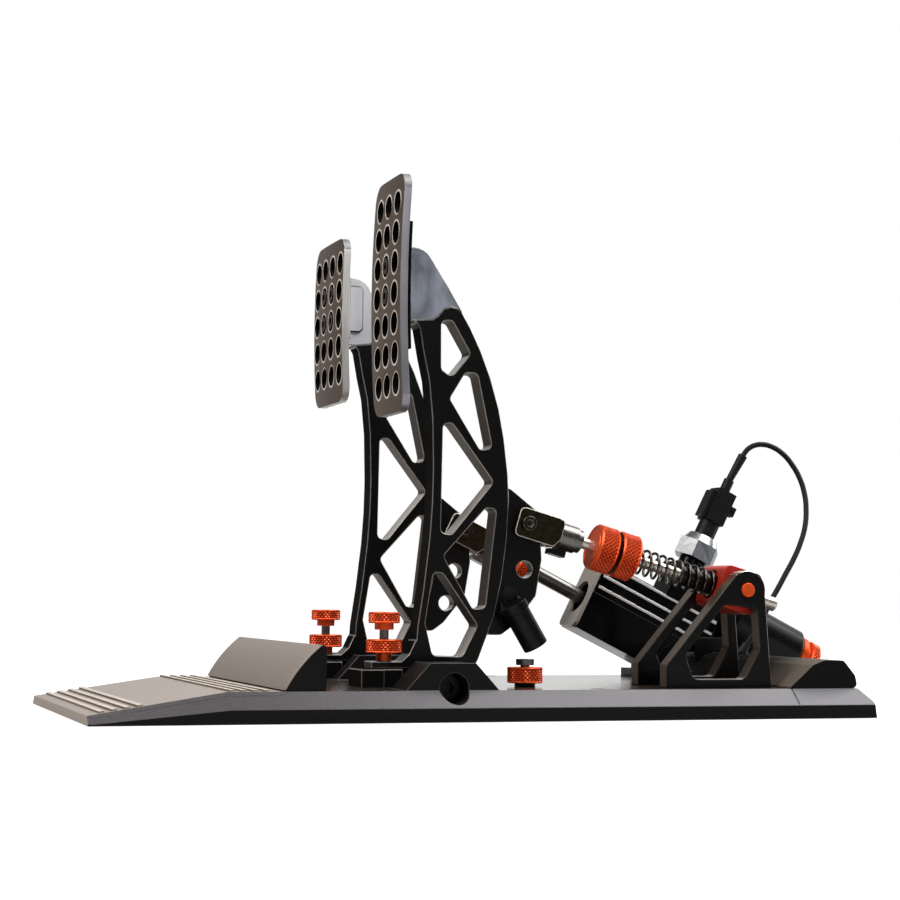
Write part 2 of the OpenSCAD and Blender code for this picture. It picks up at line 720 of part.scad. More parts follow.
module trunnion_block() {
    w = 2 * (pedal_y - frame_in - side_gap);
    color([0.78, 0.18, 0.1]) throttle_link() difference() {
        translate([spring_s1 - spring_seat, w / 2, 0]) rotate([90, 0, 0]) linear_extrude(w)
            polygon(rounded([[0, -12], [trunnion_l, -12], [trunnion_l, 12], [0, 12]], 4));
        rod_x(0, 200, rod_d + 2 * 0.09);
        rod_x(0, spring_s1, spring_d + 1.2);
        for (k = [-1, 1]) rod_y(trunnion_s, 0, k > 0 ? 6.5 : -30, k > 0 ? 30 : -6.5, stub_d + 2 * run_fit);
    }
}
module trunnion_pins() {
    color(orange) for (k = [-1, 1])
        rod_y(trunnion_x, trunnion_z, -pedal_y + (k > 0 ? 7 : -26), -pedal_y + (k > 0 ? 26 : -7), stub_d);
}
// support frame: a window between two legs under a round apex
module frame(y0) {
    difference() {
        union() {
            slab(frame_form, y0, y0 + frame_t);
            rod_y(trunnion_x, trunnion_z, y0, y0 + frame_t, 21.8);
        }
        slab(rounded(frame_gap, 4), y0 - 1, y0 + frame_t + 1);
        rod_y(trunnion_x, trunnion_z, y0 - 1, y0 + frame_t + 1, stub_d + 2 * seat_gap);
        for (x = frame_fix_x) translate([x, y0 + frame_t / 2, 0]) cylinder(h = 24, d = 4 + 2 * seat_gap);
    }
}
module throttle_frame_outer() {
    color(black) frame(-pedal_y - 15 - frame_t);
}
module throttle_frame_inner() {
    color(black) frame(-pedal_y + 15);
}
module frame_screw_spots(z) {
    for (y = [-pedal_y - 15 - frame_t / 2, -pedal_y + 15 + frame_t / 2], x = frame_fix_x)
        translate([x, y, z]) children();
}
// screws of the support frames and of the rear housing
module base_screws() {
    color(steel) {
        frame_screw_spots(frame_head_z) mirror([0, 0, 1]) socket_screw(4, 7, 3.4, 18);
        for (y = [-92, 92]) translate([198.4, y, 30.62]) difference() {
            cylinder(h = 1, d = 5.6);
            translate([0, 0, 0.4]) cylinder(h = 2, d = 2.6, $fn = 6);
        }
    }
}

module brake_clevis() {
    color([0.25, 0.22, 0.17]) brake_link() clevis(push_d, brake_tail);
}
module brake_clevis_pin() {
    color(steel) brake_link() clevis_pin();
}
module brake_coupling() {
    color(steel) brake_link() coupling(brake_tail + seat_gap, brake_tail + 13.7, 15, push_d);
}
// pushrod with the ball that sits in the piston's socket
module brake_pushrod() {
    color(steel) brake_link() {
        rod_x(brake_tail - 4.9, ball_s, push_d);
        translate([ball_s, 0, 0]) sphere(d = ball_d);
    }
}
module brake_rod_knob() {
    color(orange) brake_link() knob_x(39.5, 51.5, rod_knob_d, push_d + 2 * run_fit);
}
module brake_piston() {
    color(steel) brake_link() difference() {
        rod_x(ball_s - 7, ball_s + 12, piston_d);
        rod_x(ball_s - 8, ball_s + 7, ball_d + 2 * run_fit);
    }
}
// twin cylinder block: master bore, long fins, slave head and a foot that clears floor and housing
module master_cylinder() {
    w = master_w / 2;
    l = block_s1 - bore_s0;
    h = block_v[1] - block_v[0];
    color(black) difference() {
        brake_link() difference() {
            union() {
                translate([bore_s0, -w + 1.6, block_v[0]]) cube([l, 2 * w - 3.2, h]);
                translate([bore_s0, -w, block_v[0]]) cube([l, 2 * w, 25]);
                for (v = fin_v) translate([bore_s0 + 2, -w, v]) cube([l - 4, 2 * w, 1.9]);
                translate([134, -w, block_v[1] - 1]) cube([block_s1 - 134, 2 * w, slave_v + 17 - block_v[1]]);
                translate([sensor_s, 0, slave_v]) cylinder(h = 55 - slave_v, d = 17);
            }
            rod_x(bore_s0 - 1, bore_s0 + 5, 21);
            rod_x(bore_s0, ball_s + 36, piston_d + 2 * run_fit);
            rod_up(150, block_s1 + 1, spigot_d + 2 * seat_gap);
            translate([sensor_s, 0, slave_v + 17]) cylinder(h = 20, d = 8 + 2 * seat_gap);
        }
        translate([100, 0, -100]) cube([120, 120, 100 + floor_z]);
        translate([171, 0, -100]) cube([120, 120, 132.4]);
    }
}
// a cylinder on the slave barrel's axis
module rod_up(s0, s1, d) {
    translate([0, 0, slave_v]) rod_x(s0, s1, d);
}
module master_front_cap() {
    w = master_w / 2;
    plan = rounded([[-w, block_v[0]], [w, block_v[0]], [w, block_v[1]], [-w, block_v[1]]], 4);
    color(bare) brake_link() difference() {
        translate([bore_s0 - cap_t, 0, 0]) rotate([90, 0, 90]) linear_extrude(cap_t - seat_gap) polygon(plan);
        rod_x(80, 100, 21);
    }
}
// screws of the barrel clamp and the cradle
module brake_unit_screws() {
    color(steel) {
        brake_link() translate([187, -7, slave_v + 20.6]) rotate([90, 0, 0]) socket_screw(3, 5.5, 3, 12);
        for (p = cradle_fix) translate([p.x, pedal_y + p.y, floor_z + cradle_t]) socket_screw(5, 8.5, 5, 14);
    }
}
// slave barrel with a rounded rear shoulder and the threaded spigot of the rear knob
module slave_barrel() {
    color([0.2, 0.2, 0.21]) brake_link() translate([0, 0, slave_v]) {
        rod_x(150.2, block_s1 + 1, spigot_d);
        rod_x(block_s1 + seat_gap, slave_s1 - 2, slave_d);
        cone_x(slave_s1 - 2.1, slave_s1, slave_d, slave_d - 4);
        rod_x(slave_s1 - 1, slave_s1 + 11.5, 8);
    }
}
// split ring with a screw lug round the barrel
module barrel_clamp() {
    color(black) brake_link() difference() {
        union() {
            rod_up(184, 190, slave_d + 6);
            translate([184, -7, slave_v + 14]) cube([6, 14, 10.5]);
        }
        rod_up(180, 194, slave_d + 2 * seat_gap);
        translate([180, -0.6, slave_v + 10]) cube([14, 1.2, 20]);
        translate([187, -20, slave_v + 20.6]) rotate([-90, 0, 0]) cylinder(h = 40, d = 3 + 2 * seat_gap);
    }
}
// grooved knob behind the barrel
module brake_knob() {
    s0 = slave_s1 + side_gap;
    bore = 8 + 2 * run_fit;
    color(orange) brake_link() translate([0, 0, slave_v]) difference() {
        union() {
            knob_x(s0, s0 + 5, brake_knob_d, bore);
            knob_x(s0 + 7.6, s0 + 13.7, brake_knob_d, bore);
            rod_x(s0 + 4.9, s0 + 7.7, brake_knob_d - 6);
        }
        rod_x(s0 - 2, s0 + 12.2, bore);
    }
}
// foot plate with two cheeks that hold the block's rear end
module brake_cradle() {
    w = master_w / 2 + side_gap;
    cheek = [[151, floor_z], [170.5, floor_z], [170.5, 34], [164, 38], [158, 34], [151, 24]];
    color(black) difference() {
        union() {
            translate([151, pedal_y - 34, floor_z]) cube([19.5, 68, cradle_t]);
            for (y = [-w - 3.5, w]) slab(cheek, pedal_y + y, pedal_y + y + 3.5);
        }
        brake_link() translate([bore_s0, -w, -21 - seat_gap]) cube([120, 2 * w, 80]);
        for (p = cradle_fix) translate([p.x, pedal_y + p.y, 0]) cylinder(h = 60, d = 5 + 2 * seat_gap);
    }
}
// pressure sensor standing on the slave head
module pressure_sensor() {
    color([0.66, 0.65, 0.6]) brake_link() translate([sensor_s, 0, 0]) {
        translate([0, 0, slave_v + 17]) cylinder(h = 10, d = 8);
        translate([0, 0, 55.1]) cylinder(h = 11, d = sensor_af / cos(30), $fn = 6);
        translate([0, 0, 66]) cylinder(h = 5.4, d1 = sensor_af, d2 = 18.6);
        translate([0, 0, 71.3]) cylinder(h = 10.6, d = 9);
    }
}
// connector: round neck over the sensor's stem, body with a side block and a latch, and a collar
module sensor_connector() {
    color(black) brake_link() translate([sensor_s, 0, 0]) {
        difference() {
            union() {
                translate([0, 0, 71.5]) cylinder(h = 11, d = 13);
                translate([-6.2, -7.5, 82]) cube([12.4, 15, 22]);
            }
            translate([0, 0, 70]) cylinder(h = 12, d = 9 + 2 * seat_gap);
        }
        translate([-9.4, -5.5, 83]) cube([3.4, 11, 18]);
        translate([6, -3.2, 95]) cube([5.6, 6.4, 2.6]);
        translate([10, -3.2, 91.6]) cube([1.6, 6.4, 3.6]);
        translate([0, 0, 103.9]) cylinder(h = 8.6, d = 6.6);
    }
}
// sleeve that widens from the connector's collar to the lead and leans a little to the rear
module lead_boot() {
    color(black) brake_link() translate([sensor_s, 0, 112.75]) rotate([0, 5, 0])
        cylinder(h = 18.5, d1 = 4.6, d2 = 6);
}
module sensor_lead() {
    color(black) tube(lead_path, lead_d / 2, 8);
}
// flanged grommet with a sleeve that points along the lead
module lead_grommet() {
    color(black) translate([199.2, 20, 31.8]) {
        cylinder(h = 1.6, d = 8.4);
        intersection() {
            translate([0, 0, 1.2]) rotate([0, 37, 0]) translate([0, 0, -3]) cylinder(h = 9, d1 = 6.6, d2 = 5.2);
            translate([-20, -20, 0.1]) cube(40);
        }
    }
}
module rear_housing() {
    w = housing_w / 2;
    inner = [[175, floor_z - 1], [187, 27.6], [192.6, 31.8 - wall_t], [203.4, 31.8 - wall_t],
        [209, 22.6], [210.6, floor_z - 1]];
    color(black) difference() {
        slab(rounded(housing_form, 3), -w, w);
        slab(inner, -w + 3, w - 3);
        for (y = [-92, 92]) translate([198.4, y, 30.6]) cylinder(h = 4, d = 6.4);
        translate([200, -46 - 4.8, floor_z + 2.2]) cube([20, 9.6, 3.8]);
    }
}
module circuit_board() {
    color([0.1, 0.32, 0.16]) {
        translate([178.5, -70, floor_z]) cube([30.5, 140, 1.6]);
        translate([186, -12, floor_z + 1.5]) cube([10, 10, 1.2]);
        translate([186, 30, floor_z + 1.5]) cube([8, 14, 4]);
    }
}
module usb_socket() {
    color(steel) difference() {
        translate([203.4, -46 - 4.5, floor_z + 2.4]) cube([8.4, 9, 3.3]);
        translate([206, -46 - 4, floor_z + 2.9]) cube([8, 8, 2.3]);
    }
}

base_plate();
heel_plate();
heel_stop();
heel_stop_facing();
throttle_axle();
brake_axle();
rear_housing();
circuit_board();
usb_socket();
base_screws();
throttle_arm();
throttle_bearings();
throttle_plate();
throttle_plate_screws();
throttle_bumper();
bumper_clip();
throttle_rest_knob();
throttle_rest_screw();
throttle_lock_nut();
throttle_rest_block();
brake_arm();
brake_bearings();
brake_plate();
brake_plate_screws();
brake_rest_knob();
brake_rest_screw();
brake_lock_nut();
brake_rest_block();
floor_stop_screw();
floor_stop_nut();
throttle_clevis();
throttle_clevis_pin();
throttle_coupling();
throttle_rod();
preload_lock_knob();
preload_knob();
guide_sleeve();
throttle_spring();
trunnion_block();
trunnion_pins();
throttle_frame_outer();
throttle_frame_inner();
brake_clevis();
brake_clevis_pin();
brake_coupling();
brake_pushrod();
brake_rod_knob();
brake_piston();
master_cylinder();
master_front_cap();
slave_barrel();
barrel_clamp();
brake_knob();
brake_cradle();
brake_unit_screws();
pressure_sensor();
sensor_connector();
lead_boot();
sensor_lead();
lead_grommet();
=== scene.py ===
import math

import bpy
from mathutils import Matrix, Vector
from mathutils.bvhtree import BVHTree


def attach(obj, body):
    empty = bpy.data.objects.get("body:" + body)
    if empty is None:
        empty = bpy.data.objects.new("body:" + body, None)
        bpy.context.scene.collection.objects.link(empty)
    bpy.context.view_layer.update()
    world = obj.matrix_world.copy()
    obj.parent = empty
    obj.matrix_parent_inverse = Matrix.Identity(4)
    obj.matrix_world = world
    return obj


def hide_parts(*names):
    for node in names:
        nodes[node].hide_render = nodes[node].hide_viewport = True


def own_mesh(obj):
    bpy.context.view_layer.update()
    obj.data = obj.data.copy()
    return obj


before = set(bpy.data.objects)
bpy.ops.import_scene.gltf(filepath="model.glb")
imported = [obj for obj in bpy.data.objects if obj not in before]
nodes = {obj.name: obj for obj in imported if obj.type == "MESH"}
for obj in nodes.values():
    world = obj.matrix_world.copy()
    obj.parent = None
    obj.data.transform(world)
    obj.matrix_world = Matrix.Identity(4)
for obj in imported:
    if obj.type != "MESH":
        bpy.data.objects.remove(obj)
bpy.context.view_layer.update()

# View. The pedal set is seen from the throttle's side, a little from the driver's end and almost
# level with the base, through a long lens.
camera_data = bpy.data.cameras.new("view")
camera_data.sensor_width = 36.0
camera_data.lens = 84.66
camera_data.clip_start = 0.05
camera_data.clip_end = 20.0
camera = bpy.data.objects.new("view", camera_data)
bpy.context.scene.collection.objects.link(camera)
stand = (-0.3778, -1.1673, 0.0670)
turn, pitch, roll = math.radians(-18.071), math.radians(3.896), math.radians(0.512)
camera.matrix_world = (
    Matrix.Translation(stand)
    @ Matrix.Rotation(turn, 4, "Z")
    @ Matrix.Rotation(math.pi / 2 + pitch, 4, "X")
    @ Matrix.Rotation(roll, 4, "Z")
)
bpy.context.scene.camera = camera
bpy.context.scene.view_settings.view_transform = "Standard"

# Studio. A pale paper floor and a white backdrop, which bright metal mirrors where it stands behind
# the pedals' right; a broad warm lamp at the driver's end, one overhead, and two small ones at the
# rear and the side for edges.
world = bpy.data.worlds.new("studio_sky")
bpy.context.scene.world = world
world.use_nodes = True
sky = world.node_tree
sky.nodes.clear()
sky_out = sky.nodes.new("ShaderNodeOutputWorld")
sky_mix = sky.nodes.new("ShaderNodeMixShader")
sky_seen = sky.nodes.new("ShaderNodeBackground")
sky_seen.inputs["Color"].default_value = (1, 1, 1, 1)
sky_seen.inputs["Strength"].default_value = 1.0
sky_light = sky.nodes.new("ShaderNodeBackground")
sky_light.inputs["Color"].default_value = (1, 1, 1, 1)
sky_way = sky.nodes.new("ShaderNodeTexCoord")
sky_axis = sky.nodes.new("ShaderNodeVectorMath")
sky_axis.operation = "DOT_PRODUCT"
sky_axis.inputs[1].default_value = (0.55, 0.83, 0)
sky_back = sky.nodes.new("ShaderNodeMapRange")
sky_back.inputs["From Min"].default_value = 0.62
sky_back.inputs["From Max"].default_value = 0.95
sky_back.inputs["To Min"].default_value = 0.05
sky_back.inputs["To Max"].default_value = 1.0
sky_ray = sky.nodes.new("ShaderNodeLightPath")
sky_any = sky.nodes.new("ShaderNodeMath")
sky_any.operation = "MAXIMUM"
sky_gloss = sky.nodes.new("ShaderNodeMath")
sky_gloss.operation = "MULTIPLY"
sky_white = sky.nodes.new("ShaderNodeMath")
sky_white.operation = "MAXIMUM"
sky.links.new(sky_way.outputs["Generated"], sky_axis.inputs[0])
sky.links.new(sky_axis.outputs["Value"], sky_back.inputs["Value"])
sky.links.new(sky_back.outputs["Result"], sky_light.inputs["Strength"])
sky.links.new(sky_ray.outputs["Is Camera Ray"], sky_any.inputs[0])
sky.links.new(sky_ray.outputs["Is Transmission Ray"], sky_any.inputs[1])
sky.links.new(sky_ray.outputs["Is Glossy Ray"], sky_gloss.inputs[0])
sky.links.new(sky_back.outputs["Result"], sky_gloss.inputs[1])
sky.links.new(sky_any.outputs[0], sky_white.inputs[0])
sky.links.new(sky_gloss.outputs[0], sky_white.inputs[1])
sky.links.new(sky_white.outputs[0], sky_mix.inputs["Fac"])
sky.links.new(sky_light.outputs[0], sky_mix.inputs[1])
sky.links.new(sky_seen.outputs[0], sky_mix.inputs[2])
sky.links.new(sky_mix.outputs[0], sky_out.inputs["Surface"])


def lamp(name, place, target, size, watts, tint=(1, 1, 1)):
    light = bpy.data.lights.new(name, "AREA")
    light.shape = "RECTANGLE"
    light.size, light.size_y = size
    light.energy = watts
    light.color = tint
    ob = bpy.data.objects.new(name, light)
    ob.location = place
    ob.rotation_euler = (Vector(target) - Vector(place)).to_track_quat("-Z", "Y").to_euler()
    bpy.context.scene.collection.objects.link(ob)


lamp("driver_lamp", (-0.95, -0.25, 1.35), (0, 0, 0.12), (0.9, 1.1), 28, (1.0, 0.92, 0.84))
lamp("top_lamp", (0.92, -0.2, 1.35), (0.12, -0.05, 0.05), (1.3, 1.2), 33)
lamp("rear_lamp", (1.6, 0.3, 0.32), (0.05, -0.05, 0.12), (0.5, 0.5), 5)
lamp("side_lamp", (0.1, -1.8, 0.9), (0.05, 0, 0.1), (0.7, 0.4), 4)

floor_mesh = bpy.data.meshes.new("paper_floor")
floor_mesh.from_pydata([(-8, -8, 0), (8, -8, 0), (8, 8, 0), (-8, 8, 0)], [], [(0, 1, 2, 3)])
paper_floor = bpy.data.objects.new("paper_floor", floor_mesh)
paper_floor.location.z = -0.0004
bpy.context.scene.collection.objects.link(paper_floor)
paper = bpy.data.materials.new("paper")
paper.use_nodes = True
paper_shader = paper.node_tree.nodes["Principled BSDF"]
paper_shader.inputs["Base Color"].default_value = (0.4, 0.4, 0.4, 1)
paper_shader.inputs["Roughness"].default_value = 0.8
paper_shader.inputs["Emission Color"].default_value = (1, 1, 1, 1)
paper_ray = paper.node_tree.nodes.new("ShaderNodeLightPath")
paper_any = paper.node_tree.nodes.new("ShaderNodeMath")
paper_any.operation = "MULTIPLY_ADD"
paper_any.inputs[1].default_value = 0.1
paper_glow = paper.node_tree.nodes.new("ShaderNodeMath")
paper_glow.operation = "MULTIPLY"
paper_glow.inputs[1].default_value = 0.91
paper.node_tree.links.new(paper_ray.outputs["Is Glossy Ray"], paper_any.inputs[0])
paper.node_tree.links.new(paper_ray.outputs["Is Camera Ray"], paper_any.inputs[2])
paper.node_tree.links.new(paper_any.outputs[0], paper_glow.inputs[0])
paper.node_tree.links.new(paper_glow.outputs[0], paper_shader.inputs["Emission Strength"])
floor_mesh.materials.append(paper)


# Base. A cast alloy tray, blasted and coated black, with bevelled sides and two pivot bosses; the
# bevels and broken edges are painted grey and the tray's floor bronze-grey as reflected light; fine grain
# shows on the bevels.
def tone(red, green, blue):
    def linear(c):
        c /= 255
        return c / 12.92 if c <= 0.04045 else ((c + 0.055) / 1.055) ** 2.4

    return linear(red), linear(green), linear(blue)


def surface(name, colour, metal, rough, grain, relief, shift=0.15, gloss=0.5):
    """A finish with its own grain: noise stretched by `grain` (waves per metre) moves the colour,
    the roughness and the relief (metres)."""
    mat = bpy.data.materials.new(name)
    mat.use_nodes = True
    tree = mat.node_tree
    shader = tree.nodes["Principled BSDF"]
    shader.inputs["Metallic"].default_value = metal
    shader.inputs["Specular IOR Level"].default_value = gloss
    place = tree.nodes.new("ShaderNodeTexCoord")
    stretch = tree.nodes.new("ShaderNodeMapping")
    stretch.inputs["Scale"].default_value = grain
    noise = tree.nodes.new("ShaderNodeTexNoise")
    noise.inputs["Scale"].default_value = 1.0
    noise.inputs["Detail"].default_value = 5.0
    tree.links.new(place.outputs["Object"], stretch.inputs["Vector"])
    tree.links.new(stretch.outputs["Vector"], noise.inputs["Vector"])
    tint = tree.nodes.new("ShaderNodeMix")
    tint.data_type = "RGBA"
    tint.inputs["A"].default_value = (*[c * (1 - shift) for c in colour], 1)
    tint.inputs["B"].default_value = (*[min(1, c * (1 + shift)) for c in colour], 1)
    spread = tree.nodes.new("ShaderNodeMapRange")
    spread.inputs["From Min"].default_value = 0.3
    spread.inputs["From Max"].default_value = 0.7
    tree.links.new(noise.outputs["Fac"], spread.inputs["Value"])
    tree.links.new(spread.outputs["Result"], tint.inputs["Factor"])
    tree.links.new(tint.outputs["Result"], shader.inputs["Base Color"])
    polish = tree.nodes.new("ShaderNodeMapRange")
    polish.inputs["From Min"].default_value = 0.3
    polish.inputs["From Max"].default_value = 0.7
    polish.inputs["To Min"].default_value = rough * (1 - shift)
    polish.inputs["To Max"].default_value = rough * (1 + shift)
    tree.links.new(noise.outputs["Fac"], polish.inputs["Value"])
    tree.links.new(polish.outputs["Result"], shader.inputs["Roughness"])
    bump = tree.nodes.new("ShaderNodeBump")
    bump.inputs["Strength"].default_value = 0.5
    bump.inputs["Distance"].default_value = relief
    tree.links.new(noise.outputs["Fac"], bump.inputs["Height"])
    tree.links.new(bump.outputs["Normal"], shader.inputs["Normal"])
    return mat


def dress(name, *finishes, edge=0.4, steps=2, rim=None, part=None, full=False):
    """A solid keeps its shape: flat faces are joined, its hard edges broken by `edge` millimetres,
    and it takes its finishes. `rim` numbers the finish of the broken edges, and part(centre, normal)
    gives each face's finish, in millimetres. `full` keeps the width beside short edges too."""
    ob = nodes[name]
    mesh = ob.data
    mesh.materials.clear()
    for finish in finishes:
        mesh.materials.append(finish)
    if "custom_normal" in mesh.attributes:
        mesh.attributes.remove(mesh.attributes["custom_normal"])
    for face in mesh.polygons:
        face.use_smooth = True
        face.material_index = part(face.center * 1000, face.normal) if part else 0
    weld = ob.modifiers.new("weld", "WELD")
    weld.merge_threshold = 2e-6
    flat = ob.modifiers.new("flat", "DECIMATE")
    flat.decimate_type = "DISSOLVE"
    flat.angle_limit = math.radians(0.3)
    flat.delimit = {"MATERIAL"}
    hard_turn = math.radians(32)
    round_over = ob.modifiers.new("edge", "BEVEL")
    round_over.width = edge / 1000
    round_over.segments = steps
    round_over.limit_method = "ANGLE"
    round_over.angle_limit = hard_turn
    round_over.harden_normals = True
    round_over.use_clamp_overlap = not full
    if rim is not None:
        round_over.material = rim


# Painted reflection: the black tray's bevels and broken edges in grey, its floor in bronze-grey.
bevel_sheen = surface("bevel_sheen", tone(74, 72, 76), 0.25, 0.42, (900, 900, 900), 4e-6, 0.22)
cast_black = surface("cast_black", tone(18, 18, 18), 0.0, 0.5, (1200, 1200, 1200), 4e-5, 0.3, gloss=0.12)
floor_sheen = surface("floor_sheen", tone(74, 68, 61), 0.5, 0.16, (700, 700, 700), 6e-6, 0.2)
tray_z = 16.2


def base_part(at, way):
    if way.z > 0.99 and abs(at.z - tray_z) < 0.1:
        return 2
    on_bevel = way.z > 0.3 and abs(way.y) > 0.2 or way.x > 0.3 and way.z > 0.3
    return int(on_bevel)


dress("base_plate", cast_black, bevel_sheen, floor_sheen, edge=0.9, steps=3, rim=1, part=base_part)

# Heel plate and heel stop. A brushed alloy plate with pressed ribs lies in the base's front; the
# stop is a black bar with a brushed facing on its hollow front. The ribs' tops are painted lighter and
# their front walls darker as painted light and shade; the plate's bevelled sides take the base's painted
# bevel reflection, and the lip's sides are black.
brushed_warm = surface("brushed_warm", tone(168, 156, 146), 0.75, 0.42, (1800, 30, 1800), 2e-5, 0.16)
# Painted light on the ribs' tops and painted shade on their front walls.
rib_lit_top = surface("rib_lit_top", tone(216, 205, 195), 0.6, 0.42, (1800, 30, 1800), 1e-5, 0.1)
rib_shaded_wall = surface("rib_shaded_wall", tone(134, 120, 108), 0.7, 0.5, (1800, 30, 1800), 1e-5, 0.1)
ramp_x, ramp_z, ramp_run, ramp_rise = -220, 5, 72, 11.2
front_lip = 3


def heel_part(at, way):
    if 0.3 < abs(way.y) < 0.9:
        return 1
    if abs(way.y) >= 0.9:
        return 2 if at.x < ramp_x + front_lip else 0
    above = at.z - min(tray_z, ramp_z + (at.x - ramp_x) * ramp_rise / ramp_run)
    if way.z > 0.7:
        return 3 if above > 0.5 else 0
    return 4 if way.x < -0.7 and above > -0.3 else 0


dress("heel_plate", brushed_warm, bevel_sheen, cast_black, rib_lit_top, rib_shaded_wall, edge=0.15, part=heel_part)
dress("heel_stop_facing", brushed_warm, edge=0.2)
satin_black = surface("satin_black", tone(6, 6, 6), 0.0, 0.3, (900, 900, 900), 1e-6, 0.12, gloss=0.2)
dress("heel_stop", satin_black, edge=0.6)

# Axles. Hardened shoulder pins, coated black, each through a pair of the base's bosses and the
# pedal's bushes, with a socket head at the base's side.
dress("throttle_axle", satin_black, edge=0.3)
dress("brake_axle", satin_black, edge=0.3)

# Rear housing. A moulded satin cover over the circuit board, held by screws, with the socket for the
# lead to the computer in its rear face; its slope is painted a pale warm reflection towards the throttle's
# side, fading to black painted shade towards the brake's side, and its edges carry a painted highlight.
moulded_black = surface("moulded_black", tone(9, 9, 9), 0.0, 0.45, (600, 600, 600), 1e-5, 0.2, gloss=0.12)
board_green = surface("board_green", tone(24, 84, 48), 0.0, 0.4, (1500, 1500, 1500), 1e-5, 0.3)
# Painted reflection on the slope, blended by Y into black painted shade under the brake unit.
slope_light_and_shade = surface("slope_light_and_shade", tone(88, 82, 75), 0.0, 0.6, (600, 600, 600), 1e-5, 0.2, gloss=0.06)
slope_tree = slope_light_and_shade.node_tree
slope_shader = slope_tree.nodes["Principled BSDF"]
slope_place = slope_tree.nodes.new("ShaderNodeSeparateXYZ")
slope_shade = slope_tree.nodes.new("ShaderNodeMapRange")
slope_shade.inputs["From Min"].default_value = -0.075
slope_shade.inputs["From Max"].default_value = -0.045
slope_shadow_mix = slope_tree.nodes.new("ShaderNodeMix")
slope_shadow_mix.data_type = "RGBA"
slope_shadow_mix.inputs["B"].default_value = (*tone(6, 6, 6), 1)
slope_tint = slope_shader.inputs["Base Color"].links[0].from_socket
slope_tree.links.new(slope_tree.nodes["Texture Coordinate"].outputs["Object"], slope_place.inputs[0])
slope_tree.links.new(slope_place.outputs["Y"], slope_shade.inputs["Value"])
slope_tree.links.new(slope_shade.outputs["Result"], slope_shadow_mix.inputs["Factor"])
slope_tree.links.new(slope_tint, slope_shadow_mix.inputs["A"])
slope_tree.links.new(slope_shadow_mix.outputs["Result"], slope_shader.inputs["Base Color"])
turned_steel = surface("turned_steel", tone(114, 111, 108), 1.0, 0.28, (400, 400, 2400), 2e-6, 0.1)
dark_steel = surface("dark_steel", tone(58, 57, 58), 0.9, 0.36, (700, 700, 700), 8e-6, 0.2)
# Painted highlight for the broken edges of black parts.
edge_highlight = surface("edge_highlight", tone(128, 122, 116), 0.7, 0.34, (900, 900, 900), 1e-5, 0.15)
dress("rear_housing", moulded_black, slope_light_and_shade, edge_highlight, edge=0.7, rim=2,
      part=lambda at, way: int(abs(way.y) < 0.5))
dress("circuit_board", board_green, edge=0.1)
dress("usb_socket", turned_steel, edge=0.15)
dress("base_screws", dark_steel, edge=0.25)

# Pedal arms. Forged alloy trusses, anodised black with rounded edges; the window walls are painted a warm
# brown-grey as reflected light, the window ledges lighter as painted light, and the broken edges grey as
# painted highlight. The head above is machined back to bare metal, down to a line that rises over the top
# window; the throttle's head is a darker grey than the brake's, and the walls of the head's slots are
# painted darker grey as shade.
bright_head = surface("bright_head", tone(232, 233, 236), 0.8, 0.36, (110, 110, 42), 2e-6, 0.08)
# The throttle's head is coloured a darker blue-grey than the brake's.
grey_head = surface("grey_head", tone(152, 157, 169), 0.8, 0.34, (80, 80, 36), 3e-7, 0.42)
bronze = surface("bronze", tone(150, 118, 70), 1.0, 0.34, (900, 60, 900), 6e-6, 0.15)
head_line = [(-60, 215.6), (-44.4, 215.6), (-30.4, 217), (-26.6, 219.6), (-23.8, 223), (-19.4, 224.6),
             (-15, 223.4), (-10.6, 219.6), (0, 215.6), (60, 300)]
pad_x = -44.6
off_face, slot_reach, window_reach = 1e-4, 0.02, 0.05


def arm_part(name):
    mesh = nodes[name].data
    arm = BVHTree.FromPolygons([v.co for v in mesh.vertices], [f.vertices for f in mesh.polygons])

    def part(at, way):
        start = at / 1000 + way * off_face
        if at.x < pad_x and name == "throttle_arm":
            return 0
        for (x0, z0), (x1, z1) in zip(head_line, head_line[1:]):
            if x0 <= at.x < x1 and at.z > z0 + (z1 - z0) * (at.x - x0) / (x1 - x0):
                return 6 if arm.ray_cast(start, way, slot_reach)[0] else 1
        if abs(way.y) < 0.3 and arm.ray_cast(start, way, window_reach)[0]:
            return 5 if way.z > 0.3 else 2
        return 4 if way.x < -0.7 else 0

    return part


# Painted highlight on the arms' broken edges; painted reflection on the windows' walls.
edge_glint = surface("edge_glint", tone(156, 153, 149), 0.85, 0.36, (900, 900, 900), 1e-5, 0.2)
dull_black = surface("dull_black", tone(14, 13, 12), 0.0, 0.75, (900, 900, 900), 1e-5, 0.2, gloss=0.05)
lit_ledge = surface("lit_ledge", tone(206, 200, 194), 0.6, 0.34, (700, 700, 700), 1e-5, 0.15)
# Grey of the plate screws' shanks; on the slot walls in the bare heads and the cheeks' sides it is painted
# shade.
shank_and_side_shade = surface("shank_and_side_shade", tone(84, 84, 86), 0.8, 0.4, (400, 400, 400), 1e-6, 0.1)
wall_reflection = surface("wall_reflection", tone(74, 64, 55), 0.7, 0.4, (700, 700, 700), 1e-5, 0.2)
for pedal, head in (("throttle", grey_head), ("brake", bright_head)):
    dress(f"{pedal}_arm", satin_black, head, wall_reflection, edge_glint, dull_black, lit_ledge, shank_and_side_shade,
          edge=0.5, rim=3, part=arm_part(f"{pedal}_arm"), full=True)
    dress(f"{pedal}_bearings", bronze, edge=0.3)

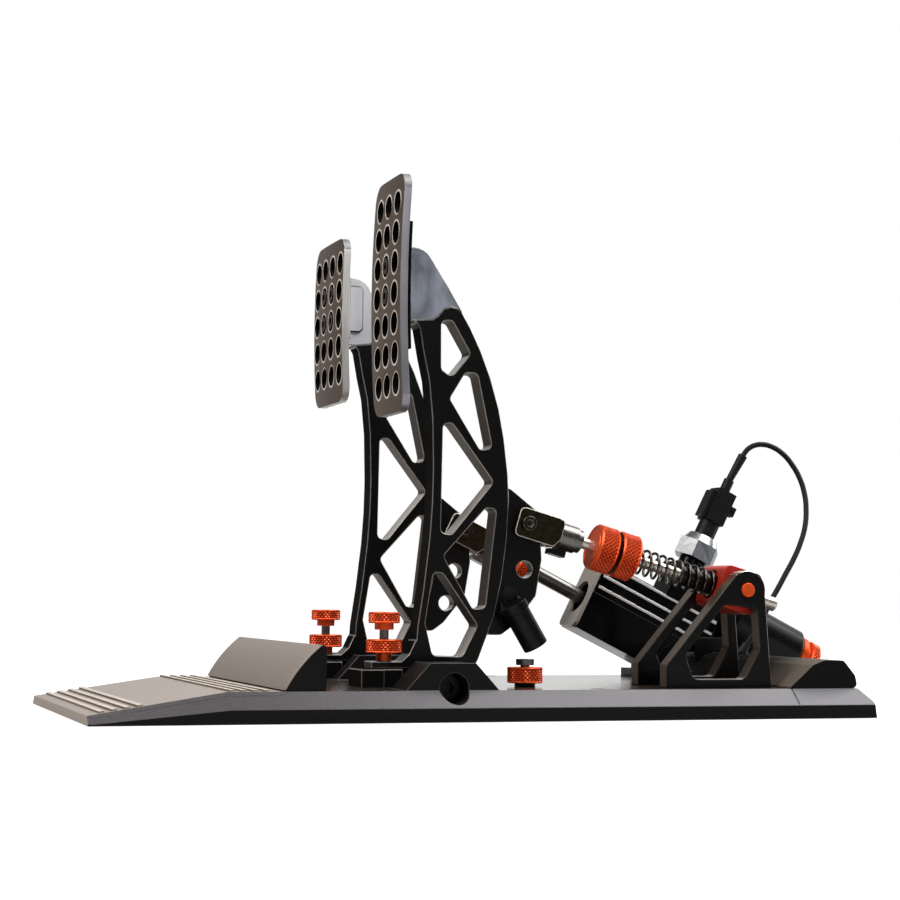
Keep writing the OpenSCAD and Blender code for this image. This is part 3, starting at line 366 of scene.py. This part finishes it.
# Pedal plates. Bowed alloy plates, brushed and dulled on the face, with bright edges, black hole walls
# and a bright spot-faced ring round each hole; their screws sit deep in two or four holes. Cheeks beside
# the brake arm's head cover its screws' ends, and rubber strips back the throttle's plate.
hole_black = surface("hole_black", tone(5, 5, 5), 0.0, 0.6, (900, 900, 900), 1e-5, 0.2, gloss=0.04)
pale_alloy = surface("pale_alloy", tone(206, 204, 203), 0.7, 0.46, (900, 900, 45), 1e-5, 0.08)
dulled_alloy = surface("dulled_alloy", tone(150, 150, 157), 0.8, 0.36, (900, 900, 45), 1e-5, 0.1)
pedal_y = 62.0
hole_pitch, hole_z, ring_r = 16.43, 229.5, 7.1
bore_reach, ring_reach = 6.1, 7.3


def ringed_face(name, side, columns, rows):
    """The plate's brushed face, with a bright spot-faced ring round each hole of its grid."""
    mat = surface(name, tone(114, 98, 86), 0.8, 0.38, (1500, 1500, 40), 1.2e-5, 0.24)
    tree = mat.node_tree
    shader = tree.nodes["Principled BSDF"]
    brushed = shader.inputs["Base Color"].links[0].from_socket

    def work(operation, *values):
        node = tree.nodes.new("ShaderNodeMath")
        node.operation = operation
        for socket, value in zip(node.inputs, values):
            if isinstance(value, (int, float)):
                socket.default_value = value
            else:
                tree.links.new(value, socket)
        return node.outputs[0]

    place = tree.nodes.new("ShaderNodeTexCoord")
    split = tree.nodes.new("ShaderNodeSeparateXYZ")
    tree.links.new(place.outputs["Object"], split.inputs["Vector"])
    squares = []
    for way, middle, count in (("Y", side * pedal_y, columns), ("Z", hole_z, rows)):
        first = middle - (count - 1) / 2 * hole_pitch
        steps = work("MULTIPLY", work("SUBTRACT", split.outputs[way], first / 1000), 1000 / hole_pitch)
        hole = work("MINIMUM", work("MAXIMUM", work("ROUND", steps), 0), count - 1)
        off = work("SUBTRACT", steps, hole)
        squares.append(work("MULTIPLY", off, off))
    in_ring = work("LESS_THAN", work("SQRT", work("ADD", *squares)), ring_r / hole_pitch)
    cut = tree.nodes.new("ShaderNodeMix")
    cut.data_type = "RGBA"
    cut.inputs["B"].default_value = (*tone(216, 210, 203), 1)
    tree.links.new(in_ring, cut.inputs["Factor"])
    tree.links.new(brushed, cut.inputs["A"])
    tree.links.new(cut.outputs["Result"], shader.inputs["Base Color"])
    tree.links.new(work("SUBTRACT", 0.8, work("MULTIPLY", in_ring, 0.6)), shader.inputs["Metallic"])
    return mat


def plate_part(side, columns, rows):
    across = [side * pedal_y + (c - (columns - 1) / 2) * hole_pitch for c in range(columns)]
    upward = [hole_z + (r - (rows - 1) / 2) * hole_pitch for r in range(rows)]
    spots = [(y, z) for y in across for z in upward]

    def part(at, way):
        from_hole = min(math.hypot(at.y - y, at.z - z) for y, z in spots)
        if from_hole < bore_reach:
            return 2
        if way.x < -0.9 or from_hole < ring_reach and abs(way.x) < 0.3:
            return 0
        return 3 if way.z > 0.25 else 1

    return part


# The plates' upward faces are painted a darker grey as shade.
top_edge_shade = surface("top_edge_shade", tone(140, 139, 140), 0.7, 0.46, (900, 900, 45), 1e-5, 0.1)
screw_head_x = -50
plate_kinds = (("throttle", -1, 3, 7, dulled_alloy), ("brake", 1, 4, 5, pale_alloy))
for pedal, side, columns, rows, alloy in plate_kinds:
    face = ringed_face(f"{pedal}_face", side, columns, rows)
    dress(f"{pedal}_plate", face, alloy, hole_black, top_edge_shade, edge=0.3,
          part=plate_part(side, columns, rows))
    dress(f"{pedal}_plate_screws", dark_steel, shank_and_side_shade, edge=0.25,
          part=lambda at, way: int(at.x > screw_head_x))
cheek_front, cheek_middle, cheek_half = -44.4, 237.5, 14
cheek_form = [(cheek_front, 223.4), (-37.4, 223.4), (-35.6, 225.2), (-35.6, 249.7), (-37.4, 251.5),
              (cheek_front, 251.5)]
cheek_layers = [(6.5, 0.0), (9.9, 0.0), (10.9, 0.8)]
for side, where in ((-1, "near"), (1, "far")):
    points = []
    for out, inset in cheek_layers:
        for x, z in cheek_form:
            back = inset if x > cheek_front else 0
            height = cheek_middle + (z - cheek_middle) * (1 - inset / cheek_half)
            points.append(((x - back) / 1000, (pedal_y + side * out) / 1000, height / 1000))
    count = len(cheek_form)
    faces = [tuple(range(count)), tuple(2 * count + k for k in reversed(range(count)))]
    for layer in (0, count):
        faces += [(layer + k, layer + count + k, layer + count + (k + 1) % count, layer + (k + 1) % count)
                  for k in range(count)]
    if side > 0:
        faces = [tuple(reversed(f)) for f in faces]
    mesh = bpy.data.meshes.new(f"brake_cheek_{where}")
    mesh.from_pydata(points, [], faces)
    mesh.materials.append(bright_head)
    mesh.materials.append(shank_and_side_shade)
    # The cheeks' sides are painted darker grey as shade.
    for face in mesh.polygons[2:]:
        face.material_index = 1
    cheek = bpy.data.objects.new(f"brake_cheek_{where}", mesh)
    bpy.context.scene.collection.objects.link(cheek)
    cheek_edge = cheek.modifiers.new("edge", "BEVEL")
    cheek_edge.width = 0.0002
    cheek_edge.segments = 2
    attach(cheek, "brake_pedal")
back_r, back_x = 795.9, 744.4


def backing_strip(name, near, far, low, high, thick):
    """A rubber strip on the plate's hollow back, from `near` to `far` beside the arm, in millimetres."""
    columns, rows = 6, 24
    points, faces = [], []
    for sunk in (0, thick):
        for i in range(columns + 1):
            for k in range(rows + 1):
                dy, z = near + (far - near) * i / columns, low + (high - low) * k / rows
                x = back_x - math.sqrt((back_r - sunk) ** 2 - dy ** 2 - (z - hole_z) ** 2)
                points.append((x / 1000, (dy - pedal_y) / 1000, z / 1000))
    layer = (columns + 1) * (rows + 1)
    for i in range(columns):
        for k in range(rows):
            a = i * (rows + 1) + k
            quad = (a, a + 1, a + rows + 2, a + rows + 1)
            faces += [quad, tuple(layer + v for v in reversed(quad))]
    rim = [i * (rows + 1) for i in range(columns)] + [columns * (rows + 1) + k for k in range(rows)]
    rim += [i * (rows + 1) + rows for i in range(columns, 0, -1)] + list(range(rows, 0, -1))
    faces += [(a, b, layer + b, layer + a) for a, b in zip(rim, rim[1:] + rim[:1])]
    mesh = bpy.data.meshes.new(name)
    mesh.from_pydata(points, [], faces)
    mesh.materials.append(hole_black)
    ob = bpy.data.objects.new(name, mesh)
    bpy.context.scene.collection.objects.link(ob)
    edge = ob.modifiers.new("edge", "BEVEL")
    edge.width = 0.0003
    edge.limit_method = "ANGLE"
    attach(ob, "throttle_pedal")


strip_in, strip_out, strip_low, strip_high, strip_thick = 9.5, 27.5, 198, 267, 2.1
backing_strip("throttle_backing_near", -strip_out, -strip_in, strip_low, strip_high, strip_thick)
backing_strip("throttle_backing_far", strip_in, strip_out, strip_low, strip_high, strip_thick)
dress("throttle_bumper", satin_black, edge=0.5)
dress("bumper_clip", satin_black, edge=0.3)

# Adjusters. Orange anodised knobs with a diamond knurl, on steel screws that stand on the base: a rest
# knob and its lock nut in front of each pedal, and the throttle's floor stop on a black collar.
orange_alloy = surface("orange_alloy", tone(232, 84, 20), 0.45, 0.34, (1200, 1200, 1200), 6e-6, 0.12)
# Darker orange painted as shade in the knurl grooves.
orange_groove_shade = surface("orange_groove_shade", tone(168, 44, 10), 0.45, 0.42, (1200, 1200, 1200), 6e-6, 0.12)


def turned_knob(name, body, centre, axis, outline, knurl, diamonds):
    """A turned piece: `outline` runs from the near bore round the outside to the far bore as
    (along, radius) in millimetres. Between the two outline points numbered in `knurl` grooves of its
    depth cross both ways and leave that many diamonds in a turn."""
    axis = Vector(axis).normalized()
    side = axis.orthogonal().normalized()
    other = axis.cross(side)
    first, last, depth = knurl
    (z0, r0), (z1, _) = outline[first], outline[last]
    columns = 4 * diamonds
    rows = max(4, round((z1 - z0) * columns / (2 * math.pi * r0)))
    loops = [(z, r, None) for z, r in outline[: first + 1]]
    loops += [(z0 + (z1 - z0) * k / rows, r0, k) for k in range(1, rows)]
    loops += [(z, r, None) for z, r in outline[last:]]
    points, low, faces, groove = [], [], [], []
    for z, r, row in loops:
        for i in range(columns):
            a = 2 * math.pi * i / columns
            sunk = 0 if row is None else max(abs((i + row) % 4 - 2), abs((i - row) % 4 - 2))
            low.append(sunk == 2)
            radius = r - depth * sunk / 2
            p = Vector(centre) + axis * z + (side * math.cos(a) + other * math.sin(a)) * radius
            points.append(p / 1000)
    for k in range(len(loops) - 1):
        for i in range(columns):
            a, b = k * columns + i, k * columns + (i + 1) % columns
            c, d = b + columns, a + columns
            if loops[k][2] is None and loops[k + 1][2] is None:
                corners = [(a, b, c, d)]
            else:
                corners = [(a, b, c), (a, c, d)] if low[a] and low[c] else [(a, b, d), (b, c, d)]
            faces += corners
            groove += [sum(low[v] for v in face) > 1 for face in corners]
    mesh = bpy.data.meshes.new(name)
    mesh.from_pydata(points, [], faces)
    mesh.materials.append(orange_alloy)
    mesh.materials.append(orange_groove_shade)
    # The groove walls take the second finish, painted shade.
    for face, dark in zip(mesh.polygons, groove):
        face.material_index = int(dark)
    ob = bpy.data.objects.new(name, mesh)
    bpy.context.scene.collection.objects.link(ob)
    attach(ob, body)
    return ob


rest_x = -53.8
for pedal, side in (("throttle", -1), ("brake", 1)):
    spot = (rest_x, side * pedal_y, 0)
    knob = turned_knob(
        f"{pedal}_rest_grip", f"{pedal}_rest", spot, (0, 0, 1),
        [(47.5, 2.6), (47.5, 4.9), (47.8, 5.2), (51, 5.2), (51, 8.1), (51.6, 8.7), (56.4, 8.7),
         (57, 8.1), (57, 2.5), (55.9, 1.6), (55.9, 0.4)],
        (5, 6, 0.6), 24)
    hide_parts(f"{pedal}_rest_knob")
    nut = turned_knob(
        f"{pedal}_lock_ring", f"{pedal}_lock", spot, (0, 0, 1),
        [(30.55, 2.6), (30.55, 3.9), (30.8, 4.15), (34.9, 4.15), (34.9, 9.3), (35.5, 9.9),
         (41.7, 9.9), (42.3, 9.3), (42.3, 3.2), (41.9, 2.6)],
        (5, 6, 0.6), 26)
    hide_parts(f"{pedal}_lock_nut")
    dress(f"{pedal}_rest_screw", turned_steel, edge=0.2)
    # The rest blocks' broken edges carry a painted highlight.
    dress(f"{pedal}_rest_block", dull_black, edge_highlight, edge=0.5, rim=1)
floor_stop, collar_top = (29.4, -57, 0), 18.1
stop_ring = turned_knob(
    "floor_stop_ring", "floor_nut", floor_stop, (0, 0, 1),
    [(16.25, 2.6), (16.25, 5.6), (16.5, 5.8), (18.2, 5.8), (18.2, 9.4), (18.8, 10), (26.4, 10),
     (27, 9.4), (27, 3.2), (26.6, 2.6)],
    (5, 6, 0.6), 26)
stop_ring.data.materials.append(satin_black)
for face in stop_ring.data.polygons:
    if face.center.z < collar_top / 1000:
        face.material_index = 2
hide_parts("floor_stop_nut")
dress("floor_stop_screw", turned_steel, edge=0.3)

# Throttle link. A folded fork, plated olive and dark, carries the rod by a pin; two knurled knobs
# on the rod preload a round-wire spring against the red trunnion between the A-frames.
plated_olive = surface("plated_olive", tone(48, 43, 30), 0.9, 0.3, (400, 400, 400), 4e-6, 0.2)
bright_edge = surface("bright_edge", tone(200, 192, 182), 0.5, 0.4, (900, 900, 900), 6e-6, 0.1)
red_alloy = surface("red_alloy", tone(200, 46, 28), 0.5, 0.36, (1300, 1300, 1300), 8e-6, 0.12)
pin = Vector((26, -pedal_y, 106.3))
trunnion = Vector((151.5, -pedal_y, 70.8))
tilt = (trunnion - pin).normalized()
dress("throttle_clevis", plated_olive, bright_edge, edge=0.5, rim=1, full=True)
dress("throttle_clevis_pin", plated_olive, turned_steel, edge=0.3, rim=1)
up = Vector((0, -1, 0)).cross(tilt)
clamp_screw = -6.6
dress("throttle_coupling", turned_steel, satin_black, edge=0.4,
      part=lambda at, way: int((at - pin).dot(up) < clamp_screw))
# The rod is painted brighter than its steel as light, against the spring's shadow.
rod_painted_light = surface("rod_painted_light", tone(214, 207, 196), 0.75, 0.24, (400, 400, 2400), 2e-6, 0.1)
dress("throttle_rod", rod_painted_light, edge=0.15)
lock_grip = turned_knob(
    "preload_lock_grip", "preload_lock", pin, tilt,
    [(43.3, 3.3), (43.3, 9), (43.6, 9.3), (43.6, 11.4), (43.3, 11.7), (43.3, 12.4), (44.1, 13.2),
     (54, 13.2), (54.8, 12.4), (54.8, 6.6), (56.7, 6.6), (56.7, 3.3)],
    (6, 7, 0.7), 34)
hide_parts("preload_lock_knob")
preload_grip = turned_knob(
    "preload_grip", "preload_knob", pin, tilt,
    [(57, 3.3), (57, 12.4), (57.8, 13.2), (67.6, 13.2), (68.4, 12.4), (68.4, 9.2), (68.1, 8.9), (68.1, 8.2),
     (68.4, 7.9), (68.4, 3.3)],
    (2, 3, 0.7), 34)
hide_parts("preload_knob")
gap_shade = surface("gap_shade", tone(84, 20, 8), 0.3, 0.5, (1200, 1200, 1200), 6e-6, 0.15)
gap_from, gap_to = 54.7, 57.1
for grip in (lock_grip, preload_grip):
    grip.data.materials.append(gap_shade)
    for face in grip.data.polygons:
        if gap_from < (face.center * 1000 - pin).dot(tilt) < gap_to:
            face.material_index = 2
dress("guide_sleeve", satin_black, edge=0.2)
dress("trunnion_block", red_alloy, edge=0.6)
dress("trunnion_pins", orange_alloy, edge=0.5)
# The A-frames' side walls are painted a warm brown-grey as reflected light, their upward ledges lighter as
# painted light.
frame_side_reflection = surface("frame_side_reflection", tone(94, 82, 70), 0.7, 0.4, (700, 700, 700), 1e-5, 0.2)


def frame_part(at, way):
    return 0 if abs(way.y) >= 0.3 else 2 if way.z > 0.9 else 1


for layer in ("outer", "inner"):
    dress(f"throttle_frame_{layer}", satin_black, frame_side_reflection, lit_ledge, edge=0.9, steps=3,
          part=frame_part, full=True)


def tube_along(name, path, radius, sides, finish):
    """A round tube of `radius` along the points of `path`, all in millimetres, with closed ends."""
    points, faces = [], []
    side = None
    for k, p in enumerate(path):
        ahead = (path[min(k + 1, len(path) - 1)] - path[max(k - 1, 0)]).normalized()
        side = (ahead.orthogonal() if side is None else side - ahead * side.dot(ahead)).normalized()
        other = ahead.cross(side)
        for i in range(sides):
            a = 2 * math.pi * i / sides
            points.append((p + (side * math.cos(a) + other * math.sin(a)) * radius) / 1000)
    for k in range(len(path) - 1):
        for i in range(sides):
            j = (i + 1) % sides
            faces.append((k * sides + i, k * sides + j, (k + 1) * sides + j, (k + 1) * sides + i))
    faces.append(tuple(reversed(range(sides))))
    faces.append(tuple((len(path) - 1) * sides + i for i in range(sides)))
    mesh = bpy.data.meshes.new(name)
    mesh.from_pydata(points, [], faces)
    for face in mesh.polygons:
        face.use_smooth = len(face.vertices) == 4
    mesh.materials.append(finish)
    ob = bpy.data.objects.new(name, mesh)
    bpy.context.scene.collection.objects.link(ob)
    return ob


spring_from, spring_to = 68.6, 120.7
spring_r, wire_r, turns, turn_steps = 7.0, 0.8, 10, 28
coil = []
for k in range(turns * turn_steps + 1):
    a = 2 * math.pi * k / turn_steps
    s = spring_from + wire_r + (spring_to - spring_from - 2 * wire_r) * k / (turns * turn_steps)
    coil.append(pin + tilt * s + Vector((0, 1, 0)) * spring_r * math.cos(a) + up * spring_r * math.sin(a))
spring_black = surface("spring_black", tone(82, 80, 78), 1.0, 0.2, (900, 900, 900), 1e-6, 0.1)
spring_wire = tube_along("spring_wire", coil, wire_r, 10, spring_black)
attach(spring_wire, "trunnion")
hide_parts("throttle_spring")
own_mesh(spring_wire)

# Brake unit. A twin cylinder block, black with bright fin tips, on a cradle, with a web from its rear
# end down to the housing; the pushrod's fork and the knurled knob are in front, and the slave barrel
# with its knob points to the rear.
bare_alloy = surface("bare_alloy", tone(230, 228, 227), 0.7, 0.34, (900, 900, 45), 1e-5, 0.1)
brake_pin = Vector((30.5, pedal_y, 105))
brake_tilt = math.radians(26.3)
slope = Vector((math.cos(brake_tilt), 0, -math.sin(brake_tilt)))
rise = Vector((-slope.z, 0, slope.x))
fin_side, fin_low, fin_high = 12.9, 6, 25.2


def fin_tip(at, way):
    on_side = abs(way.y) > 0.99 and abs(at.y - pedal_y) > fin_side
    return int(on_side and fin_low < (at - brake_pin).dot(rise) < fin_high)


gloss_coat = surface("gloss_coat", tone(6, 6, 6), 0.0, 0.14, (260, 260, 260), 4e-6, 0.2, gloss=0.14)
dress("master_cylinder", gloss_coat, bare_alloy, edge=0.4, part=fin_tip)
dress("brake_clevis", plated_olive, bright_edge, edge=0.5, rim=1, full=True)
dress("brake_clevis_pin", plated_olive, turned_steel, edge=0.3, rim=1)
dress("brake_coupling", turned_steel, edge=0.4)
dress("brake_pushrod", turned_steel, edge=0.15)
dress("brake_piston", turned_steel, edge=0.3)
face_grey = surface("face_grey", tone(178, 173, 168), 0.6, 0.42, (900, 900, 900), 1e-5, 0.12)
dress("master_front_cap", face_grey, edge=0.6)
dress("slave_barrel", satin_black, edge=0.8)
dress("barrel_clamp", satin_black, edge=0.5)
dress("brake_cradle", satin_black, edge=0.6)
dress("brake_unit_screws", dark_steel, edge=0.25)
web_form = [(180.2, 25.6), (185.5, 29.7), (192.2, 32.1), (204, 32.1),
            (204, 36), (199, 41.5), (182, 41.5), (180.2, 39.5)]
web_near, web_far = 46.2, 48.8
web_mesh = bpy.data.meshes.new("block_web")
web_points = [(x / 1000, y / 1000, z / 1000) for y in (web_near, web_far) for x, z in web_form]
count = len(web_form)
web_ends = [tuple(reversed(range(count))), tuple(range(count, 2 * count))]
web_sides = [(i, (i + 1) % count, (i + 1) % count + count, i + count) for i in range(count)]
web_mesh.from_pydata(web_points, [], web_ends + web_sides)
web_mesh.materials.append(satin_black)
block_web = bpy.data.objects.new("block_web", web_mesh)
bpy.context.scene.collection.objects.link(block_web)
web_edge = block_web.modifiers.new("edge", "BEVEL")
web_edge.width = 0.0006
web_edge.segments = 2
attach(block_web, "base")
rod_grip = turned_knob(
    "brake_rod_grip", "brake_rod_knob", brake_pin, slope,
    [(39.5, 4.6), (39.5, 11.2), (40.3, 12), (50.7, 12), (51.5, 11.2), (51.5, 4.6)],
    (2, 3, 0.7), 31)
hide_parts("brake_rod_knob")
slave_rise = 32.8
rear_grip = turned_knob(
    "brake_grip", "brake_knob", brake_pin + rise * slave_rise, slope,
    [(234.8, 4.1), (234.8, 12.4), (235.6, 13.2), (239, 13.2), (239.8, 12.4), (239.8, 10.2), (242.4, 10.2),
     (242.4, 12.4), (243.2, 13.2), (247.7, 13.2), (248.5, 12.4), (248.5, 3.4), (247.5, 2.4), (247.5, 0.3)],
    (8, 9, 0.7), 34)
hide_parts("brake_knob")

# Pressure sensor. A zinc-plated body with a hexagon stands on the slave head; a moulded connector,
# its sleeve and the lead to the rear housing are black.
zinc = surface("zinc", tone(164, 168, 174), 1.0, 0.32, (500, 500, 500), 1e-5, 0.12)
rubber = surface("rubber", tone(11, 11, 12), 0.0, 0.5, (500, 500, 500), 1e-7, 0.06, gloss=0.2)
dress("pressure_sensor", zinc, edge=0.5)
dress("sensor_connector", rubber, edge=0.5)
dress("lead_boot", rubber, edge=0.3)
dress("lead_grommet", rubber, edge=0.3)
lead_d = 0.0034
lead_points = [
    (220.97, 62, 157.21), (221.49, 62, 158.06), (223.38, 62, 160.51), (226.03, 61.9, 162.65),
    (229.59, 61.5, 164.24), (233.94, 60.7, 164.77), (239.8, 59, 163.4), (246.2, 56, 158.8),
    (251.6, 53, 151.4), (254.9, 49.5, 142.9), (256.4, 46, 133.2), (255.5, 42, 122.7), (252.5, 38, 111.4),
    (247.5, 34.5, 101.1), (240.8, 31, 90.7), (233.7, 28, 81.3), (227.9, 25.5, 73.6), (222.4, 23.5, 66.3),
    (217.1, 22, 58.2), (212, 20.8, 50.4), (207.02, 20, 43.38), (202.82, 20, 37.8)]
lead_curve = bpy.data.curves.new("sensor_lead_cable", "CURVE")
lead_curve.dimensions = "3D"
lead_curve.bevel_depth = lead_d / 2
lead_curve.bevel_resolution = 4
lead_curve.use_fill_caps = True
line = lead_curve.splines.new("BEZIER")
line.bezier_points.add(len(lead_points) - 1)
for knot, p in zip(line.bezier_points, lead_points):
    knot.co = Vector(p) / 1000
    knot.handle_left_type = knot.handle_right_type = "AUTO"
lead_curve.materials.append(rubber)
lead = bpy.data.objects.new("sensor_lead_cable", lead_curve)
bpy.context.scene.collection.objects.link(lead)
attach(lead, "base")
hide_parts("sensor_lead")
